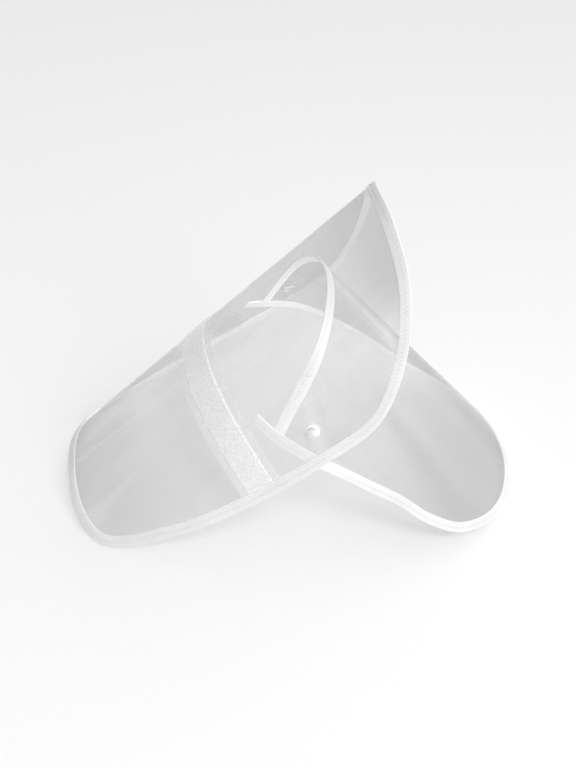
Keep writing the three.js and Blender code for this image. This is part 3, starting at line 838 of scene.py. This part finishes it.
# Glitter. Small six-sided foil flakes lie scattered in the core's face, each with a tilt of its own.
flake_count = 600
flake_radius = 0.34
flake_tilt = 0.4
flake_thickness = 0.06
random = np.random.default_rng(7)
flake_share = random.uniform(-0.9, 0.9, flake_count)
flake_beside = random.uniform(-band_core_half, band_core_half, flake_count)
flake_arc = flake_share * np.polyval(reach_fit, flake_beside)
flake_along = band_line(flake_arc) + flake_beside
flake_height = band_top(flake_share, flake_beside, flake_arc) + band_lift(flake_beside, flake_arc)
flake_height += flake_thickness / 2
flake_base = off_film(hat_surface, flake_arc, flake_along, flake_height)
up_way = outward(hat_surface, flake_arc, flake_along)
up_way += random.normal(0, flake_tilt / 2, (flake_count, 3))
up_way /= np.linalg.norm(up_way, axis=1, keepdims=True)
first_way = np.cross(up_way, [0.3, 0.5, 0.8])
first_way /= np.linalg.norm(first_way, axis=1, keepdims=True)
second_way = np.cross(up_way, first_way)
turns = np.linspace(0, 2 * np.pi, 6, endpoint=False)
size = flake_radius * random.uniform(0.5, 1, flake_count)[:, None, None]
ring = size * (np.cos(turns)[:, None] * first_way[:, None] + np.sin(turns)[:, None] * second_way[:, None])
faces_up = flake_base[:, None] + ring
half_flake = flake_thickness / 2 * up_way[:, None]
flakes = np.concatenate([faces_up + half_flake, faces_up - half_flake], axis=1)
sides = [[k, k + 6, (k + 1) % 6 + 6, (k + 1) % 6] for k in range(6)]
one_flake = [[0, 1, 2, 3, 4, 5], [11, 10, 9, 8, 7, 6], *sides]
flake_faces = [[first + k for k in face] for first in range(0, flake_count * 12, 12) for face in one_flake]


def flake_finish():
    """Bright silver foil with a little scatter from flake to flake, which glows a little: painted glints."""
    material, tree, shader = new_material("glitter flakes")
    patch = noise(tree, object_place(tree), 1400, 1.0)
    shade = ramp(tree, patch, 0.82, 1.0, 0.3, 0.7)
    tree.links.new(grey(tree, shade), shader.inputs["Base Color"])
    tree.links.new(ramp(tree, patch, 0.08, 0.25), shader.inputs["Roughness"])
    shader.inputs["Metallic"].default_value = 0.6
    # Painted light: the flakes glow, though they are no lamps.
    shader.inputs["Emission Color"].default_value = (1, 1, 1, 1)
    shader.inputs["Emission Strength"].default_value = 0.3
    return material


add_piece("band_glitter", flakes.reshape(-1, 3), flake_faces, flake_finish(), crease=20)


# Press studs. Each is moulded of clear plastic in four pieces on one axis square to the hat's film: a
# domed cap with a post, a socket ring, a knob on a disc, and a second cap inside. Radii and heights are
# measured from the axis and from the film's middle.
cap_radius = 5.4
gap = 0.3
ring_radius = 4.8
post_radius = 1.0
knob_radius = 1.5
bore_radius = 1.85
cap_foot = band_foot
socket_gap = 0.55
socket_depth = 1.2
disc_depth = 0.5
knob_depth = 1
inner_cap_gap = 0.8
socket_top = -film_thickness / 2 - socket_gap
socket_foot = socket_top - socket_depth
disc_top = socket_foot - gap
disc_foot = disc_top - disc_depth
knob_top = disc_top + knob_depth
inner_foot = -stud_depth - film_thickness / 2 - inner_cap_gap
dome_height = 1.75
dome = [(cap_radius, 0), (cap_radius, 0.5), (4.8, 1.05), (3.6, 1.55), (2.4, dome_height)]
stud_rounds = 64
# Where the studs' painted shade arc, painted highlight crescent and painted highlight spot lie.
painted_shade_arc_radius = 3.3
painted_crescent_radius = 4.6
painted_spot_place = (-1.9, -0.2, 0)


def eased(profile, closed=False):
    """The profile with each corner cut by a small parabola, so that every moulded edge is round."""
    spots = np.array(profile, float)
    before, after = np.roll(spots, 1, axis=0), np.roll(spots, -1, axis=0)
    lengths = [np.linalg.norm(other - spots, axis=1, keepdims=True) for other in (before, after)]
    cut = np.minimum(0.4, 0.45 * np.minimum(*lengths))
    low, high = spots + (before - spots) / lengths[0] * cut, spots + (after - spots) / lengths[1] * cut
    shares = np.linspace(0, 1, 5)[:, None]
    curves = [a + (b - a) * shares + (corner - (a + b) / 2) * 2 * shares * (1 - shares)
              for a, corner, b in zip(low, spots, high)]
    if closed:
        return np.concatenate(curves)
    return np.concatenate([spots[:1], *curves[1:-1], spots[-1:]])


def add_turned(name, profile, place, axis, closed=False):
    """The profile turned round the axis, with a pole at each end, or closed on itself as a ring. Its map
    holds each point's place across the axis, level and downhill."""
    first = np.cross(axis, [0, 0, 1])
    first /= np.linalg.norm(first)
    second = np.cross(axis, first)
    turn = np.linspace(0, 2 * np.pi, stud_rounds, endpoint=False)
    radial = np.cos(turn)[:, None] * first + np.sin(turn)[:, None] * second
    rows = eased(profile, closed)
    body = rows if closed else rows[1:-1]
    points = place + body[:, None, :1] * radial + body[:, None, 1:] * axis
    points = points.reshape(-1, 3)
    flat = (body[:, None, :1] * np.column_stack([np.cos(turn), np.sin(turn)])).reshape(-1, 2)
    faces = [*grid_faces(len(body), stud_rounds, closed_rows=closed, closed_columns=True).tolist()]
    if not closed:
        poles = place + rows[[0, -1], 1:] * axis
        points = np.concatenate([points, poles])
        flat = np.concatenate([flat, np.zeros((2, 2))])
        last = (len(body) - 1) * stud_rounds
        for k in range(stud_rounds):
            after = (k + 1) % stud_rounds
            faces += [[after, k, len(points) - 2], [last + k, last + after, len(points) - 1]]
    return add_piece(name, points, faces, stud_finish, flat=flat, crease=60)


def clear_plastic_finish():
    """Clear moulded plastic, slightly cloudy, with fine handling marks. As a lens it gathers light in a
    crescent at its upper rim and a spot beside its middle, with a dark arc between them. All three are
    painted: the crescent and the spot as painted highlights that glow, the arc as painted shade, and the whole
    plastic glows faintly as painted light."""
    material, tree, shader = new_material("clear moulded plastic")
    clouds = noise(tree, object_place(tree), 400, 2.0)
    place = flat_place(tree)
    radius = add_node(tree, "VectorMath", {0: place}, operation="LENGTH").outputs["Value"]
    downhill = add_node(tree, "SeparateXYZ", {0: place}).outputs[1]
    # Painted shade: a dark arc between the crescent and the spot.
    arc = beside_value(tree, radius, painted_shade_arc_radius, 0.3, 1.2)
    arc = maths(tree, "MULTIPLY", arc, ramp(tree, downhill, 1, 0, -2.0, 1.5))
    # Painted highlight: a bright crescent at the upper rim.
    crescent = beside_value(tree, radius, painted_crescent_radius, 0.6, 1.2)
    crescent = maths(tree, "MULTIPLY", crescent, ramp(tree, downhill, 0.25, 0, -3.5, 0.5))
    # Painted highlight: a bright spot beside the middle.
    spot = ramp(tree, vector(tree, "DISTANCE", place, painted_spot_place, "Value"), 0.33, 0, 1.2, 2.6)
    # Painted light: the crescent and spot glow, and the whole plastic glows faintly.
    glow = maths(tree, "ADD", maths(tree, "ADD", crescent, spot), 0.03)
    tree.links.new(grey(tree, glow), shader.inputs["Emission Color"])
    shade = maths(tree, "MULTIPLY_ADD", arc, -0.16, ramp(tree, clouds, 0.8, 0.9, 0.3, 0.7))
    tree.links.new(grey(tree, shade), shader.inputs["Base Color"])
    marks = noise(tree, object_place(tree, (1, 1, 0.2)), 2500, 3.0, 0.7)
    tree.links.new(ramp(tree, marks, 0.05, 0.22, 0.4, 0.75), shader.inputs["Roughness"])
    shader.inputs["Alpha"].default_value = 0.5
    shader.inputs["Emission Strength"].default_value = 1.0
    shader.inputs["IOR"].default_value = 1.49
    shader.inputs["Coat Weight"].default_value = 1.0
    return material


stud_finish = clear_plastic_finish()
outer_cap = [(0, knob_top + gap), (post_radius, knob_top + gap), (post_radius, cap_foot)]
outer_cap += [(radius, cap_foot + rise) for radius, rise in dome]
outer_cap += [(1.9, cap_foot + 1.72), (1.5, cap_foot + 1.45), (0, cap_foot + 1.4)]
socket_ring = [(bore_radius, socket_foot), (ring_radius, socket_foot), (ring_radius, socket_top)]
socket_ring += [(bore_radius, socket_top)]
knob = [(0, disc_foot), (ring_radius, disc_foot), (ring_radius, disc_top), (knob_radius, disc_top)]
knob += [(knob_radius, knob_top), (0, knob_top)]
inner_cap = [(0, inner_foot - dome_height)] + [(radius, inner_foot - rise) for radius, rise in dome[::-1]]
inner_cap += [(post_radius, inner_foot), (post_radius, disc_foot - gap), (0, disc_foot - gap)]
for side, label in ((-1, "near"), (1, "far")):
    stud_arc = np.array([side * hat_form.stud_arc])
    place = hat_form.point(stud_arc, np.zeros(1))[0]
    axis = outward(hat_form.point, stud_arc, np.zeros(1))[0]
    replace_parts(add_turned(label + "_cap_moulding", outer_cap, place, axis), label + "_outer_cap")
    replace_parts(add_turned(label + "_socket_ring", socket_ring, place, axis, closed=True), label + "_socket")
    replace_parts(add_turned(label + "_knob", knob, place, axis), label + "_stud")
    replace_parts(add_turned(label + "_inner_cap_moulding", inner_cap, place, axis), label + "_inner_cap")


# Table and light. A plain white table stands in a pale room, whose light is weaker from behind the hat's
# back while its walls look as bright all round. Two soft lamps stand on the near side, and a wide soft
# light falls from above.
room_light = (0.1, 1.12)
room_looks = 0.9
world = bpy.data.worlds.new("room")
world.use_nodes = True
room = world.node_tree
room.nodes["Background"].inputs["Color"].default_value = (1, 1, 1, 1)
facing = room.nodes.new("ShaderNodeTexCoord").outputs["Generated"]
from_left = add_node(room, "SeparateXYZ", {0: facing}).outputs[0]
backdrop = maths(room, "MULTIPLY", add_node(room, "LightPath").outputs["Is Camera Ray"], room_looks)
brightness = maths(room, "MAXIMUM", ramp(room, from_left, *room_light, -0.9, 0.4), backdrop)
room.links.new(brightness, room.nodes["Background"].inputs["Strength"])
bpy.context.scene.world = world
bpy.context.scene.view_settings.view_transform = "Standard"
bpy.context.scene.cycles.transparent_max_bounces = 32


def table_finish():
    """White board with a faint tooth."""
    material, tree, shader = new_material("white table")
    tooth = noise(tree, object_place(tree), 300, 4.0)
    shade = ramp(tree, tooth, 0.85, 0.87)
    tree.links.new(grey(tree, shade), shader.inputs["Base Color"])
    shader.inputs["Roughness"].default_value = 0.8
    return material


table_half = 6.0
table_drop = 0.0004
table_mesh = bpy.data.meshes.new("table")
table_corners = [(-table_half, -table_half), (table_half, -table_half), (table_half, table_half)]
table_corners.append((-table_half, table_half))
table_mesh.from_pydata([(x, y, -table_drop) for x, y in table_corners], [], [(0, 1, 2, 3)])
table_mesh.materials.append(table_finish())
table = bpy.data.objects.new("table", table_mesh)
bpy.context.scene.collection.objects.link(table)


def add_lamp(name, place, aim, width, height, power):
    """A soft rectangle of light at a place, turned to shine at a point, in metres and watts."""
    lamp = bpy.data.objects.new(name, bpy.data.lights.new(name, "AREA"))
    lamp.data.shape = "RECTANGLE"
    lamp.data.size, lamp.data.size_y = width, height
    lamp.data.energy = power
    away = Matrix.Translation(place).to_translation() - Matrix.Translation(aim).to_translation()
    lamp.matrix_world = Matrix.Translation(place) @ away.to_track_quat("Z", "Y").to_matrix().to_4x4()
    bpy.context.scene.collection.objects.link(lamp)


hat_middle = (0.0, 0.0, 0.1)
add_lamp("near", (0.9, -1.6, 0.8), hat_middle, width=1.0, height=1.0, power=5)
add_lamp("small_lamp", (0.15, -0.9, 1.45), hat_middle, width=0.4, height=0.4, power=5.6)
sky = bpy.data.objects.new("wide_soft_light", bpy.data.lights.new("wide_soft_light", "SUN"))
sky.data.energy = 0.58
sky.data.angle = np.radians(120)
sky.rotation_euler = (np.radians(20), np.radians(30), 0)
bpy.context.scene.collection.objects.link(sky)
